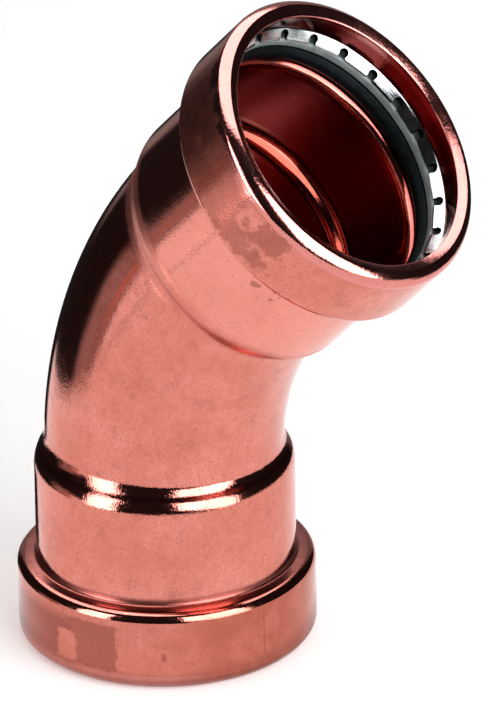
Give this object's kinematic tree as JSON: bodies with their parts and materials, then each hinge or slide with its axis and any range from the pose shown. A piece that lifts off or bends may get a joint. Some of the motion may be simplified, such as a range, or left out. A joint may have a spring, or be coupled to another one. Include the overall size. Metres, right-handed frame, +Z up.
{
  "type": "press fit fitting",
  "caption": "Copper press fit elbow that joins large pipes at 45 degrees, with a ringed and hemmed socket at each end.",
  "frame": {"origin": "middle of the fitting's footprint, in the plane of the lower mouth's rim", "axes": "+Z up along the lower socket's axis; the bend lies in the XZ plane and leans towards +X, and the upper socket's axis is 45 degrees from +Z"},
  "size_m": [0.1258, 0.0786, 0.1713],
  "materials": {
    "copper": "drawn copper, semi-bright, lightly stained",
    "stainless_steel": "bright stamped",
    "grey_plastic": "moulded, matte",
    "black_rubber": "moulded, satin"
  },
  "bodies": {
    "root": {"elbow_body": "copper", "lower_cutting_ring": "stainless_steel", "upper_cutting_ring": "stainless_steel", "lower_separator_ring": "grey_plastic", "upper_separator_ring": "grey_plastic", "lower_seal_ring": "black_rubber", "upper_seal_ring": "black_rubber"}
  },
  "joints": []
}
